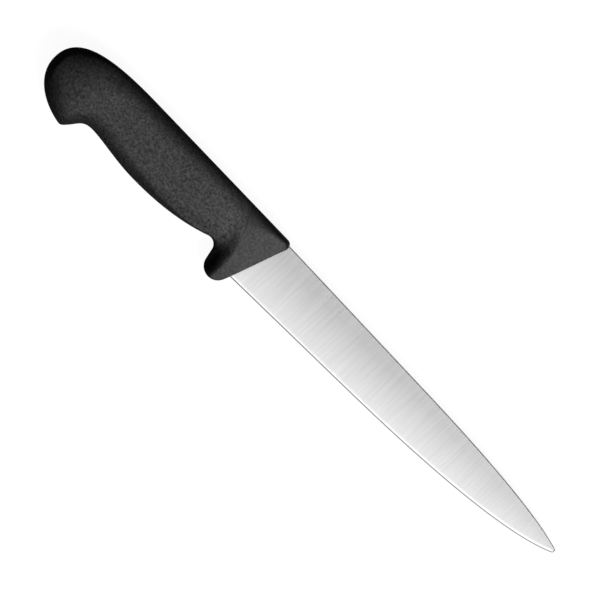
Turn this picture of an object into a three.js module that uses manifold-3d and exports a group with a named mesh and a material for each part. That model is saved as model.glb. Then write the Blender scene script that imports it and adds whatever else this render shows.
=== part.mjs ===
// A fillet knife: a stamped steel blade with a hidden tang, a hard core moulded round that tang, and a
// textured grip moulded over the core. The core shows only as the smooth cheek at the root of the blade.
// Millimetres, +Z up. The knife lies on its side, with +X from the butt to the tip and +Y from the edge to
// the spine. Sizes start at the corner where the handle's straight back meets its slanted front face: a
// "set" is a distance behind that corner, a "drop" a distance below the back, and a "back" a distance
// forward of the butt's end.
import * as THREE from "three";
import { LoftGeometry } from "three/addons/geometries/LoftGeometry.js";
import { mergeGeometries, mergeVertices } from "three/addons/utils/BufferGeometryUtils.js";
import Module from "manifold-3d";

const wasm = await Module();
wasm.setup();

const degrees = THREE.MathUtils.degToRad;

// Blade, as it shows in front of the handle
const BLADE_LENGTH = 179.4;
const BLADE_STOCK = 2;
const SPINE_DROP = 1.2;
const SPINE_FALL = degrees(0.6);
const SPINE_STRAIGHT = 89;
const SPINE_EASE = 0.5;
const HEEL_DROP = 29.8;
const EDGE_RISE = degrees(2.2);
const EDGE_STRAIGHT = 60;
const EDGE_BEVEL = 1.6;
const EDGE_SHOULDER = 0.5;
const EDGE_LAND = 0.1;
const FLAT_BAND = 6;
const TIP_DROP = 9.4;
const TIP_HEIGHT = 1.9;
const TIP_STOCK = 1;
const TIP_SPINE_ANGLE = degrees(16.7);
const TIP_EDGE_ANGLE = degrees(26.6);
const TAPER_LENGTH = 75;

// Tang and root, inside the handle
const ROOT_DEPTH = 1.6;
const TANG_DROP = 7;
const TANG_HEIGHT = 11;
const TANG_END_RADIUS = 3;
const TANG_HOLE_RADIUS = 3;
const TANG_HOLE_COUNT = 3;
const TANG_FIRST_HOLE_SET = 30;
const TANG_LAST_HOLE_INSET = 12;

// Handle outline
const HANDLE_LENGTH = 135.5;
const FRONT_SLANT = degrees(18.5);
const CORNER_RADIUS = 2.7;
const GUARD_DROP = 37.1;
const GUARD_RADIUS = 6.5;
const GUARD_LEAN = 0.85;
const NECK_DROP = 24.05;
const NECK_RADIUS = 4.25;
const NECK_TURN = degrees(21);
const BELLY_BACK = 63;
const BELLY_DROP = 31.05;
const WAIST_BACK = 35.8;
const WAIST_DROP = 28.85;
const WAIST_EASE = [11, 6.5];
const HOOK_BACK = 22.7;
const HOOK_DROP = 37.95;
const HOOK_RADIUS = 2.65;
const HOOK_SLOPE = degrees(46);
const HOOK_EASE = 7;
const BUTT_DROP = 18.3;
const BUTT_RISE = degrees(8);
const BUTT_TOP_BACK = 46.8;
const BUTT_UPPER_EASE = [27.1, 15.4];
const BUTT_LOWER_EASE = [9.2, 12.5];

// The crease between the core's cheek and the grip: its ends, and how far it bows forward between them
const CREASE_FOOT_ANGLE = degrees(252);
const CREASE_TOP_SET = 25.6;
const CREASE_BOW = [11, 2.5];
const NECK_TOP_SET = 33;

// Half thickness of the handle along its length
const CHEEK_HALF = 8;
const CREASE_HALF = 7.8;
const NECK_HALF = 6.9;
const BELLY_HALF = 9.6;
const WAIST_HALF = 9.2;
const HOOK_HALF = 9.6;
const BUTT_HALF = 7.8;
const CHEEK_EDGE_BREAK = 0.5;

// How far the rounding of the back and of the underside reaches into the sides, at each station
const CHEEK_ROUND = { back: 2.2, under: 1.2 };
const CREASE_ROUND = { back: 9.5, under: 1.2 };
const NECK_ROUND = { back: 8.5, under: 1.2 };
const WAIST_ROUND = { back: 10, under: 9 };
const HOOK_ROUND = { back: 17, under: 10 };
const BUTT_ROUND = { back: 18, under: 16 };
const GUARD_ROUND = 9;

// The finger scoop in the sides behind the cheek: the share of the thickness that it takes at its deepest,
// its lower and upper ends, and the ridge on the cheek where it starts
const SCOOP_DEPTH = 0.85;
const SCOOP_FOOT_DROP = 31;
const SCOOP_TOP_DROP = 7;
const SCOOP_POWER = 1.9;
const SCOOP_FALL = 4;
const SCOOP_GUARD_FALL = 7.5;
const SCOOP_RETURN = 10;
const RIDGE_SET = 15.3;
const RIDGE_DROP = 29;
const RIDGE_BEND = 0.019;

// The steep rim round the upper half of the butt
const RIM_WIDTH = 3.4;
const RIM_POWER = 0.45;
const RIM_FROM_BACK = 15.5;
const RIM_FULL_BACK = 5.5;
const RIM_FOOT_DROP = 27;

// Core inside the grip
const GRIP_WALL = 2.6;
const CORE_ROUND = 6;
const CORE_END_WALL = 12;
const BUTT_SOLID = 26;
const CLEARANCE = 0.3;

// Near the tip, the eased spine and the bevel take no more than these shares of the blade's height
const EASE_SHARE = 1 / 6;
const BEVEL_SHARE = 1 / 3;

// Fineness of the facets
const RING_STEPS = 22;
const BAR_RING_STEPS = 10;
const BAR_FRONT_STATIONS = 5;
const BAR_STATIONS = 10;
const HANDLE_STATIONS = { nose: 9, guard: 14, belly: 14, hook: 10, butt: 14 };
const OUTLINE_STEPS = 200;
const STRAIGHT_STATIONS = 3;
const CURVED_STATIONS = 16;
const GRIND_ROWS = 6;
const PLATE_CURVE_STEPS = 8;
const MERGE_TOLERANCE = 1e-4;
const SEARCH_STEPS = 40;

// The last station stops this share of a step short of the butt's end, which leaves a small flat there
const BUTT_FLAT = 0.2;

const buttEnd = new THREE.Vector2(-HANDLE_LENGTH, -BUTT_DROP);
const bellyX = -HANDLE_LENGTH + BELLY_BACK;
const waistX = -HANDLE_LENGTH + WAIST_BACK;
const hookX = -HANDLE_LENGTH + HOOK_BACK;
const gripFrontX = -CREASE_TOP_SET / 2;
const barEnd = -HANDLE_LENGTH + BUTT_SOLID;
const tangEnd = barEnd + CORE_END_WALL;

// The point at a distance from another, in the direction of an angle.
function step(from, angle, distance) {
  return new THREE.Vector2(Math.cos(angle), Math.sin(angle)).multiplyScalar(distance).add(from);
}

// The x of the handle's slanted front face at a height.
function frontX(y) {
  return y * Math.tan(FRONT_SLANT);
}

// Where a line from p at one angle crosses a line from q at another.
function crossing(p, angleP, q, angleQ) {
  const gap = q.clone().sub(p);
  const reach = (gap.x * Math.sin(angleQ) - gap.y * Math.cos(angleQ)) / Math.sin(angleQ - angleP);
  return step(p, angleP, reach);
}

// The point of a curve at a given x, for a curve that runs one way along x.
function pointAtX(curve, x) {
  const rising = curve.getPoint(1).x > curve.getPoint(0).x;
  let low = 0;
  let high = 1;
  for (let i = 0; i < SEARCH_STEPS; i++) {
    const middle = (low + high) / 2;
    const before = curve.getPoint(middle).x < x === rising;
    low = before ? middle : low;
    high = before ? high : middle;
  }
  return { t: low, point: curve.getPoint(low) };
}

function smooth(from, to, share) {
  return THREE.MathUtils.lerp(from, to, THREE.MathUtils.smoothstep(share, 0, 1));
}

function solidOf(geometry) {
  geometry.deleteAttribute("normal");
  geometry.deleteAttribute("uv");
  const merged = mergeVertices(geometry, MERGE_TOLERANCE);
  return new wasm.Manifold(new wasm.Mesh({
    numProp: 3,
    vertProperties: Float32Array.from(merged.attributes.position.array),
    triVerts: Uint32Array.from(merged.index.array),
  }));
}

function meshOf(solid, name, material) {
  const { vertProperties, triVerts } = solid.getMesh();
  const geometry = new THREE.BufferGeometry();
  geometry.setAttribute("position", new THREE.BufferAttribute(vertProperties, 3));
  geometry.setIndex(new THREE.BufferAttribute(triVerts, 1));
  geometry.computeVertexNormals();
  const mesh = new THREE.Mesh(geometry, material);
  mesh.name = name;
  return mesh;
}

// A closed ring: one side's points, then their mirror images in the middle plane, back to the start.
function ringOf(side) {
  const otherSide = side.slice(1, -1).map((p) => new THREE.Vector3(p.x, p.y, -p.z)).reverse();
  return [...side, ...otherSide];
}

// A cap over a ring, ruled across from each point to its mirror image, so that it follows a curved ring.
function ruledCap(section, facingEnd) {
  const count = section.length;
  const triangles = [];
  for (let i = 0; i < count / 2; i++) {
    const across = count - i;
    if (i > 0) {
      triangles.push([i, across - 1, across]);
    }
    if (i + 1 < across - 1) {
      triangles.push([i, i + 1, across - 1]);
    }
  }
  const cap = new THREE.BufferGeometry().setFromPoints(section);
  cap.setIndex(triangles.flatMap((corners) => (facingEnd ? corners : corners.reverse())));
  return cap;
}

function loftSolid(sections) {
  const sides = new LoftGeometry(sections, { closed: true });
  sides.deleteAttribute("normal");
  sides.deleteAttribute("uv");
  const caps = [ruledCap(sections[0], false), ruledCap(sections.at(-1), true)];
  return solidOf(mergeGeometries([sides, ...caps]));
}

// A plate of the given outline, centred on the knife's middle plane.
function plateSolid(shape, thickness) {
  const options = { depth: thickness, bevelEnabled: false, curveSegments: PLATE_CURVE_STEPS };
  const geometry = new THREE.ExtrudeGeometry(shape, options);
  geometry.translate(0, 0, -thickness / 2);
  return solidOf(geometry);
}

// Blade outline: a straight stretch and then one curve to the tip, on both the spine and the edge. It starts
// behind the root, where the blade is cut off.
function bladeLines() {
  const heel = 2 * frontX(-HEEL_DROP);
  const lines = {};
  const sides = [
    ["spine", -SPINE_DROP, -SPINE_FALL, SPINE_STRAIGHT, -TIP_DROP, -TIP_SPINE_ANGLE],
    ["edge", -HEEL_DROP, EDGE_RISE, EDGE_STRAIGHT, -TIP_DROP - TIP_HEIGHT, TIP_EDGE_ANGLE],
  ];
  for (const [name, y, angle, straight, tipY, tipAngle] of sides) {
    const start = new THREE.Vector2(heel, y + heel * Math.tan(angle));
    const bend = new THREE.Vector2(straight, y + straight * Math.tan(angle));
    const tip = new THREE.Vector2(BLADE_LENGTH, tipY);
    const pull = crossing(bend, angle, tip, tipAngle);
    lines[name] = new THREE.Path();
    lines[name].moveTo(start.x, start.y);
    lines[name].lineTo(bend.x, bend.y);
    lines[name].quadraticCurveTo(pull.x, pull.y, tip.x, tip.y);
  }
  return { ...lines, heel };
}

// One section across the blade: an eased spine, a flat band, a convex grind and the sharpened bevel.
function bladeSection(x, spineY, edgeY, grow) {
  const height = spineY - edgeY;
  const share = height / (HEEL_DROP - SPINE_DROP);
  const taper = THREE.MathUtils.clamp((BLADE_LENGTH - x) / TAPER_LENGTH, 0, 1);
  const half = THREE.MathUtils.lerp(TIP_STOCK, BLADE_STOCK, taper) / 2;
  const shoulder = (EDGE_SHOULDER / BLADE_STOCK) * half;
  const ease = Math.min(SPINE_EASE, height * EASE_SHARE);
  const bevel = Math.min(EDGE_BEVEL, height * BEVEL_SHARE);
  const flat = Math.max(FLAT_BAND * share, 2 * ease);
  const rows = [[0, 0], [0, half - ease], [ease, half], [flat, half]];
  for (let i = 1; i <= GRIND_ROWS; i++) {
    const part = i / GRIND_ROWS;
    rows.push([flat + (height - bevel - flat) * part, half - (half - shoulder) * part * part]);
  }
  rows.push([height, EDGE_LAND / 2], [height, 0]);
  return ringOf(rows.map(([below, halfThickness]) => {
    const outward = below === 0 ? grow : below === height ? -grow : 0;
    return new THREE.Vector3(x, spineY - below + outward, halfThickness === 0 ? 0 : halfThickness + grow);
  }));
}

// The tang's outline, with its locking holes.
function tangShape(grow) {
  const top = -TANG_DROP + grow;
  const bottom = -TANG_DROP - TANG_HEIGHT - grow;
  const end = tangEnd - grow;
  const front = (y) => frontX(y) - ROOT_DEPTH / 2 + grow;
  const radius = TANG_END_RADIUS + grow;
  const shape = new THREE.Shape();
  shape.moveTo(front(top), top);
  shape.lineTo(end + radius, top);
  shape.absarc(end + radius, top - radius, radius, Math.PI / 2, Math.PI, false);
  shape.lineTo(end, bottom + radius);
  shape.absarc(end + radius, bottom + radius, radius, Math.PI, 1.5 * Math.PI, false);
  shape.lineTo(front(bottom), bottom);
  shape.closePath();
  const lastHole = tangEnd + TANG_LAST_HOLE_INSET;
  for (let i = 0; i < TANG_HOLE_COUNT; i++) {
    const x = THREE.MathUtils.lerp(-TANG_FIRST_HOLE_SET, lastHole, i / (TANG_HOLE_COUNT - 1));
    const hole = new THREE.Path();
    hole.absarc(x, -TANG_DROP - TANG_HEIGHT / 2, TANG_HOLE_RADIUS - grow, 0, 2 * Math.PI, true);
    shape.holes.push(hole);
  }
  return shape;
}

// The blade with its root and tang. A grow above zero gives the hollow that fits round it.
function bladeSolid(grow) {
  const { spine, edge, heel } = bladeLines();
  const stations = [heel];
  for (let i = 0; i < STRAIGHT_STATIONS; i++) {
    stations.push((EDGE_STRAIGHT * i) / STRAIGHT_STATIONS);
  }
  for (let i = 0; i <= CURVED_STATIONS; i++) {
    const share = Math.sin(((i / CURVED_STATIONS) * Math.PI) / 2);
    stations.push(THREE.MathUtils.lerp(EDGE_STRAIGHT, BLADE_LENGTH, share));
  }
  const sections = stations.map((x) => {
    return bladeSection(x, pointAtX(spine, x).point.y, pointAtX(edge, x).point.y, grow);
  });
  const root = (y) => frontX(y) - (ROOT_DEPTH + grow) / Math.cos(FRONT_SLANT);
  const above = HEEL_DROP;
  const below = -2 * HEEL_DROP;
  const behindRoot = new THREE.Shape();
  behindRoot.moveTo(root(above), above);
  behindRoot.lineTo(2 * heel, above);
  behindRoot.lineTo(2 * heel, below);
  behindRoot.lineTo(root(below), below);
  behindRoot.closePath();
  const shown = loftSolid(sections).subtract(plateSolid(behindRoot, HEEL_DROP));
  return shown.add(plateSolid(tangShape(grow), BLADE_STOCK + 2 * grow));
}

// The handle's underside, from the front face round the guard, along the belly and round the hook to the
// butt.
function undersidePieces() {
  const guardY = -GUARD_DROP + GUARD_RADIUS;
  const guard = new THREE.Vector2(frontX(guardY) - GUARD_RADIUS / Math.cos(FRONT_SLANT), guardY);
  const neckX = guard.x - GUARD_RADIUS - NECK_RADIUS - GUARD_LEAN;
  const neck = new THREE.Vector2(neckX, -NECK_DROP - NECK_RADIUS);
  const across = neck.clone().sub(guard);
  const tangent = across.angle() + Math.acos((GUARD_RADIUS + NECK_RADIUS) / across.length());
  const neckEnd = Math.PI / 2 + NECK_TURN;
  const belly = new THREE.Vector2(bellyX, -BELLY_DROP);
  const waist = new THREE.Vector2(waistX, -WAIST_DROP);
  const hook = new THREE.Vector2(hookX, -HOOK_DROP + HOOK_RADIUS);
  const hookStart = 1.5 * Math.PI + HOOK_SLOPE;
  const hookEnd = 1.5 * Math.PI - BUTT_RISE;

  const nose = new THREE.Path();
  nose.absarc(guard.x, guard.y, GUARD_RADIUS, -FRONT_SLANT, CREASE_FOOT_ANGLE - 2 * Math.PI, true);

  const scoop = new THREE.Path();
  scoop.absarc(guard.x, guard.y, GUARD_RADIUS, CREASE_FOOT_ANGLE, tangent, true);
  scoop.absarc(neck.x, neck.y, NECK_RADIUS, tangent - Math.PI, neckEnd, false);

  const bellyStart = step(neck, neckEnd, NECK_RADIUS);
  const firstReach = (bellyStart.x - belly.x) / 3;
  const firstPull = step(bellyStart, Math.PI + NECK_TURN, firstReach);
  const [leave, arrive] = WAIST_EASE;
  const underside = new THREE.Path();
  underside.moveTo(bellyStart.x, bellyStart.y);
  underside.bezierCurveTo(firstPull.x, firstPull.y, belly.x + firstReach, belly.y, belly.x, belly.y);
  underside.bezierCurveTo(belly.x - leave, belly.y, waist.x + arrive, waist.y, waist.x, waist.y);

  const hookFrom = step(hook, hookStart, HOOK_RADIUS);
  const hookPull = step(hookFrom, HOOK_SLOPE, HOOK_EASE);
  const hookPath = new THREE.Path();
  hookPath.moveTo(waist.x, waist.y);
  hookPath.bezierCurveTo(waist.x - HOOK_EASE, waist.y, hookPull.x, hookPull.y, hookFrom.x, hookFrom.y);
  hookPath.absarc(hook.x, hook.y, HOOK_RADIUS, hookStart, hookEnd, true);

  const buttFrom = step(hook, hookEnd, HOOK_RADIUS);
  const [first, second] = BUTT_LOWER_EASE;
  const buttPull = step(buttFrom, Math.PI - BUTT_RISE, first);
  const butt = new THREE.Path();
  butt.moveTo(buttFrom.x, buttFrom.y);
  butt.bezierCurveTo(buttPull.x, buttPull.y, buttEnd.x, buttEnd.y - second, buttEnd.x, buttEnd.y);

  return { nose, guard: scoop, belly: underside, hook: hookPath, butt };
}

// The handle's back, from the front face over the rounded corner and along to the butt.
function backLine() {
  const reach = CORNER_RADIUS / Math.tan((Math.PI / 2 - FRONT_SLANT) / 2);
  const bend = -HANDLE_LENGTH + BUTT_TOP_BACK;
  const [first, second] = BUTT_UPPER_EASE;
  const back = new THREE.Path();
  back.absarc(-reach, -CORNER_RADIUS, CORNER_RADIUS, -FRONT_SLANT, Math.PI / 2, false);
  back.lineTo(bend, 0);
  back.bezierCurveTo(bend - first, 0, buttEnd.x, buttEnd.y + second, buttEnd.x, buttEnd.y);
  return back;
}

// Half thickness of the grip at a place along the handle.
function gripHalf(x) {
  const stations = [
    [gripFrontX, CREASE_HALF],
    [-NECK_TOP_SET, NECK_HALF],
    [bellyX, BELLY_HALF],
    [waistX, WAIST_HALF],
    [hookX, HOOK_HALF],
    [-HANDLE_LENGTH, BUTT_HALF],
  ];
  let half = CREASE_HALF;
  for (let i = 1; i < stations.length; i++) {
    const [fromX, from] = stations[i - 1];
    const [toX, to] = stations[i];
    const share = (fromX - x) / (fromX - toX);
    const last = i === stations.length - 1;
    const next = last ? THREE.MathUtils.lerp(from, to, share * share) : smooth(from, to, share);
    half = x < fromX ? next : half;
  }
  return half;
}

// The share of the thickness that the finger scoop takes at a point of the middle plane. It starts at the
// ridge, falls steeply and comes back slowly, and fades out towards the back.
function scoopAt(point) {
  const up = THREE.MathUtils.clamp((point.y + SCOOP_TOP_DROP) / (SCOOP_TOP_DROP - SCOOP_FOOT_DROP), 0, 1);
  const above = Math.max(0, point.y + RIDGE_DROP);
  const behind = -RIDGE_SET - RIDGE_BEND * above * above - point.x;
  const reach = smooth(SCOOP_FALL, SCOOP_GUARD_FALL, up);
  const depth = smooth(0, 1, behind / reach) * smooth(1, 0, (behind - reach) / SCOOP_RETURN);
  return SCOOP_DEPTH * Math.pow(up, SCOOP_POWER) * depth;
}

// The share of the thickness that the butt's steep rim leaves at a point of the middle plane.
function rimAt(point) {
  const behind = -HANDLE_LENGTH + RIM_FROM_BACK - point.x;
  if (behind <= 0) {
    return 1;
  }
  const distance = Math.min(...rimOutline.map((place) => place.distanceTo(point)));
  const steep = Math.pow(Math.min(1, distance / RIM_WIDTH), RIM_POWER);
  return smooth(1, steep, behind / (RIM_FROM_BACK - RIM_FULL_BACK));
}

// Quarter-round rise from an outline: 0 on it, 1 once the distance reaches the rounding.
function rise(distance, rounding) {
  const share = THREE.MathUtils.clamp(distance / rounding, 0, 1);
  return Math.sqrt(share * (2 - share));
}

// A ring round the handle: up one side from the underside to the back, and down the other.
function ring(bottom, top, bow, halfAt, round, steps) {
  const line = new THREE.CubicBezierCurve(
    bottom,
    bottom.clone().lerp(top, 1 / 3).add(new THREE.Vector2(bow[0], 0)),
    bottom.clone().lerp(top, 2 / 3).add(new THREE.Vector2(bow[1], 0)),
    top,
  );
  const length = bottom.distanceTo(top);
  const side = [];
  for (let i = 0; i <= steps; i++) {
    const share = (1 - Math.cos((Math.PI * i) / steps)) / 2;
    const point = line.getPoint(share);
    const lift = rise(share * length, round.under) * rise((1 - share) * length, round.back);
    const swell = (1 - scoopAt(point)) * rimAt(point);
    side.push(new THREE.Vector3(point.x, point.y, halfAt(point.x) * lift * swell));
  }
  return ringOf(side);
}

// The stretches of the handle, each between two stations of its outline.
function handleStretches() {
  const under = undersidePieces();
  const back = backLine();
  const places = [-CREASE_TOP_SET, -NECK_TOP_SET, waistX, hookX];
  const marks = [0, ...places.map((x) => pointAtX(back, x).t), 1];
  const rounds = [CHEEK_ROUND, CREASE_ROUND, NECK_ROUND, WAIST_ROUND, HOOK_ROUND, BUTT_ROUND];
  const bows = [0, 1, 0, 0, 0, 0];
  const stretches = {};
  Object.keys(HANDLE_STATIONS).forEach((name, i) => {
    const mix = (values, share) => THREE.MathUtils.lerp(values[i], values[i + 1], share);
    stretches[name] = (share) => {
      const eased = name === "nose" ? share * share : smooth(0, 1, share);
      const underRound = THREE.MathUtils.lerp(rounds[i].under, rounds[i + 1].under, eased);
      const scooped = name === "guard" ? Math.pow(Math.sin(share * Math.PI), 2) : 0;
      return {
        bottom: under[name].getPoint(share),
        top: back.getPoint(mix(marks, share)),
        bow: CREASE_BOW.map((bow) => bow * mix(bows, share)),
        round: {
          back: THREE.MathUtils.lerp(rounds[i].back, rounds[i + 1].back, eased),
          under: THREE.MathUtils.lerp(underRound, GUARD_ROUND, scooped),
        },
      };
    };
  });
  return stretches;
}

const rimOutline = [backLine(), undersidePieces().butt]
  .flatMap((line) => line.getSpacedPoints(OUTLINE_STEPS))
  .filter((point) => point.x < -HANDLE_LENGTH + RIM_FROM_BACK && point.y > -RIM_FOOT_DROP);
const stretches = handleStretches();

// The core's cheek: everything in front of the crease, with its front edge broken.
function cheekSolid() {
  const sections = [];
  for (let i = 0; i <= HANDLE_STATIONS.nose; i++) {
    const { bottom, top, bow, round } = stretches.nose(i / HANDLE_STATIONS.nose);
    const half = i === 0 ? CHEEK_HALF - CHEEK_EDGE_BREAK : CHEEK_HALF;
    sections.push(ring(bottom, top, bow, () => half, round, RING_STEPS));
  }
  return loftSolid(sections);
}

// The bar of the core that reaches back inside the grip. A grow above zero gives the hollow that fits it.
function barSolid(grow) {
  const { belly } = undersidePieces();
  const back = backLine();
  const neckX = belly.getPoint(0).x;
  const stations = [];
  for (let i = 0; i < BAR_FRONT_STATIONS; i++) {
    stations.push(THREE.MathUtils.lerp(gripFrontX, neckX, i / BAR_FRONT_STATIONS));
  }
  for (let i = 0; i <= BAR_STATIONS; i++) {
    stations.push(THREE.MathUtils.lerp(neckX, barEnd - grow, i / BAR_STATIONS));
  }
  const round = { back: CORE_ROUND, under: CORE_ROUND };
  const sections = stations.map((x) => {
    const low = pointAtX(belly, THREE.MathUtils.clamp(x, waistX, neckX)).point.y;
    const bottom = new THREE.Vector2(x, low + GRIP_WALL - grow);
    const top = new THREE.Vector2(x, pointAtX(back, x).point.y - GRIP_WALL + grow);
    const half = gripHalf(x) - GRIP_WALL + grow;
    return ring(bottom, top, [0, 0], () => half, round, BAR_RING_STEPS);
  });
  return loftSolid(sections);
}

// The grip's outside: everything behind the crease, a clearance away from the cheek. The stations close up
// towards the end of the butt.
function gripSkinSolid() {
  const sections = [];
  for (const name of ["guard", "belly", "hook", "butt"]) {
    const count = HANDLE_STATIONS[name];
    for (let i = name === "guard" ? 0 : 1; i <= count; i++) {
      const share = name === "butt" ? Math.sin(((i - BUTT_FLAT) / count) * (Math.PI / 2)) : i / count;
      const { bottom, top, bow, round } = stretches[name](share);
      sections.push(ring(bottom, top, bow, gripHalf, round, RING_STEPS));
    }
  }
  sections[0].forEach((point) => point.setX(point.x - CLEARANCE));
  return loftSolid(sections);
}

const steel = new THREE.MeshStandardMaterial({ color: 0xc8c9ca, roughness: 0.32, metalness: 0.95 });
const hardPlastic = new THREE.MeshStandardMaterial({ color: 0x2e2e2e, roughness: 0.6, metalness: 0 });
const grainedPlastic = new THREE.MeshStandardMaterial({ color: 0x262626, roughness: 0.72, metalness: 0 });

const core = cheekSolid().add(barSolid(0)).subtract(bladeSolid(CLEARANCE));
const grip = gripSkinSolid().subtract(barSolid(CLEARANCE));

const knife = new THREE.Group();
knife.add(meshOf(bladeSolid(0), "blade", steel));
knife.add(meshOf(core, "handle_core", hardPlastic));
knife.add(meshOf(grip, "grip", grainedPlastic));

// The origin is under the middle of the knife, on the surface that it lies on.
const box = new THREE.Box3().setFromObject(knife);
const middle = box.getCenter(new THREE.Vector3());
knife.position.set(-middle.x, -middle.y, -box.min.z);

export default knife;
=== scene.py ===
"""Looks of a fillet knife: a satin steel blade in a two-part moulded handle, lying on a white table.

Sizes are in millimetres, in the knife's own axes. x runs towards the tip, from the corner where the
handle's straight back meets its slanted front face. y is the height above that back, so that most of
the knife lies below zero. z is the distance from the middle plane. KnifeSeat turns them into the
frame's metres.
"""

from __future__ import annotations

import logging
import math
from dataclasses import dataclass
from enum import Enum
from functools import cached_property, reduce
from typing import Callable, NamedTuple, Sequence, Union

import bmesh
import bpy
import numpy as np
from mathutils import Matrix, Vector

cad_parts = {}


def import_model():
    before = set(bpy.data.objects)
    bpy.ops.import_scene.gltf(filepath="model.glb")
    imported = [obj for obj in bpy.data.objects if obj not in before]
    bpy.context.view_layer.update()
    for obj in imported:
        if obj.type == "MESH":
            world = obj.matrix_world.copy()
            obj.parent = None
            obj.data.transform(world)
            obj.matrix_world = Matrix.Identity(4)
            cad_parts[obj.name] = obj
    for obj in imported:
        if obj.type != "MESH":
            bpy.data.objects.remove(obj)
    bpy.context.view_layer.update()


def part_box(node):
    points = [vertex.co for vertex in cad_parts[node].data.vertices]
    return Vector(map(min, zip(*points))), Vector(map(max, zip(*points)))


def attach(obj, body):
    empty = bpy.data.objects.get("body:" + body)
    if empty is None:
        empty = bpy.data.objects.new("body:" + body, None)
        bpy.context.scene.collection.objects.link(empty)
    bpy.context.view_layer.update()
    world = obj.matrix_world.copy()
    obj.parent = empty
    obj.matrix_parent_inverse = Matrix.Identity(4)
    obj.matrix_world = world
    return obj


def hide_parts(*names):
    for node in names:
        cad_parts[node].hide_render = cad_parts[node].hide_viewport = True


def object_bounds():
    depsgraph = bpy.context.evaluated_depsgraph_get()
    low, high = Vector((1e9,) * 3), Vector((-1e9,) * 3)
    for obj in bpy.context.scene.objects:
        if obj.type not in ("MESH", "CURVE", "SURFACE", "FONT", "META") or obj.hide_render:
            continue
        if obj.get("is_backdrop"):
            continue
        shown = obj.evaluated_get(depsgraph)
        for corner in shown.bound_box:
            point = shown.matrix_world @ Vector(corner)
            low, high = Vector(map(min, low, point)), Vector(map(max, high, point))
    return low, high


LOG = logging.getLogger("fillet_knife")
BODY = "root"
MM = 0.001
PER_METRE = 1000.0
CURVE_STEPS = 200
# The degree of a curve that four points pull on
CUBIC = 3
# Angles are in radians, from +X towards +Y
QUARTER_TURN = math.pi / 2
DOWN = 3 * QUARTER_TURN
# The lean of the handle's front face, which the blade's root follows
FRONT_SLANT = math.radians(18.5)
UNIT_SPAN = (0.0, 1.0)
# The span that holds nearly all values of a noise
NOISE_SPAN = (0.3, 0.7)

Pair = tuple[float, float]
Measure = Union[float, np.ndarray]
HalfAt = Callable[[np.ndarray], np.ndarray]
Socket = bpy.types.NodeSocket
Feed = Union[Socket, float, Sequence[float]]


class Node(Enum):
    """The frame's nodes, which the pieces here stand for."""

    BLADE = "blade"
    CORE = "handle_core"
    GRIP = "grip"


class Slot(Enum):
    """The record's material slots."""

    STEEL = "blade_steel"
    CORE = "core_plastic"
    GRIP = "grip_plastic"


class Cut(Enum):
    """How a second solid changes a first."""

    JOIN = "UNION"
    CARVE = "DIFFERENCE"


class Stretch(Enum):
    """The stretches of the handle's outline, from the front face to the butt."""

    NOSE = 0
    GUARD = 1
    BELLY = 2
    HOOK = 3
    BUTT = 4


# Planar curves


def step(start: np.ndarray, angle: float, distance: float) -> np.ndarray:
    """The point at a distance from another, in the direction of an angle.

    Args:
        start: The point to start from.
        angle: The direction, in radians from +X towards +Y.
        distance: How far to go.

    Returns:
        The point reached.
    """
    return start + distance * np.array([math.cos(angle), math.sin(angle)])


def arc(centre: np.ndarray, radius: float, start: float, end: float) -> np.ndarray:
    """Points along an arc.

    Args:
        centre: The arc's centre.
        radius: Its radius.
        start: The angle of its first point, in radians.
        end: The angle of its last point; a smaller one runs clockwise.

    Returns:
        The points, one to a row.
    """
    angles = np.linspace(start, end, CURVE_STEPS)
    return np.asarray(centre) + radius * np.column_stack([np.cos(angles), np.sin(angles)])


def bezier(*pulls: np.ndarray) -> np.ndarray:
    """Points along a Bezier curve of any degree.

    Args:
        pulls: The curve's control points, ends included.

    Returns:
        The points, one to a row.
    """
    share = np.linspace(0.0, 1.0, CURVE_STEPS)[:, None]
    level = [np.broadcast_to(np.asarray(p, float), (CURVE_STEPS, 2)) for p in pulls]
    while len(level) > 1:
        level = [a * (1 - share) + b * share for a, b in zip(level, level[1:])]
    return level[0]


def crossing(p: np.ndarray, angle_p: float, q: np.ndarray, angle_q: float) -> np.ndarray:
    """Where a line from one point meets a line from another.

    Args:
        p: A point on the first line.
        angle_p: The first line's direction, in radians.
        q: A point on the second line.
        angle_q: The second line's direction, in radians.

    Returns:
        The point that both lines hold.
    """
    gap = q - p
    reach = gap[0] * math.sin(angle_q) - gap[1] * math.cos(angle_q)
    return step(p, angle_p, reach / math.sin(angle_q - angle_p))


def smooth(share: Measure) -> Measure:
    """An eased share: level at 0 and at 1."""
    bounded = np.clip(share, 0.0, 1.0)
    return bounded * bounded * (3 - 2 * bounded)


def ramp(value: Measure, span: Pair) -> Measure:
    """An eased share: 0 at the span's first value and 1 at its second."""
    return smooth((value - span[0]) / (span[1] - span[0]))


def around(middle: float, spread: float) -> Pair:
    """The span that reaches a spread to each side of a middle value."""
    return middle - spread, middle + spread


def quarter_round(distance: np.ndarray, reach: Measure) -> np.ndarray:
    """Height of a quarter round, as a share of its full height.

    Args:
        distance: Distances from the outline.
        reach: How far the rounding reaches.

    Returns:
        0 on the outline, rising to 1 where the rounding ends.
    """
    share = np.clip(distance / reach, 0.0, 1.0)
    return np.sqrt(share * (2 - share))


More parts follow.
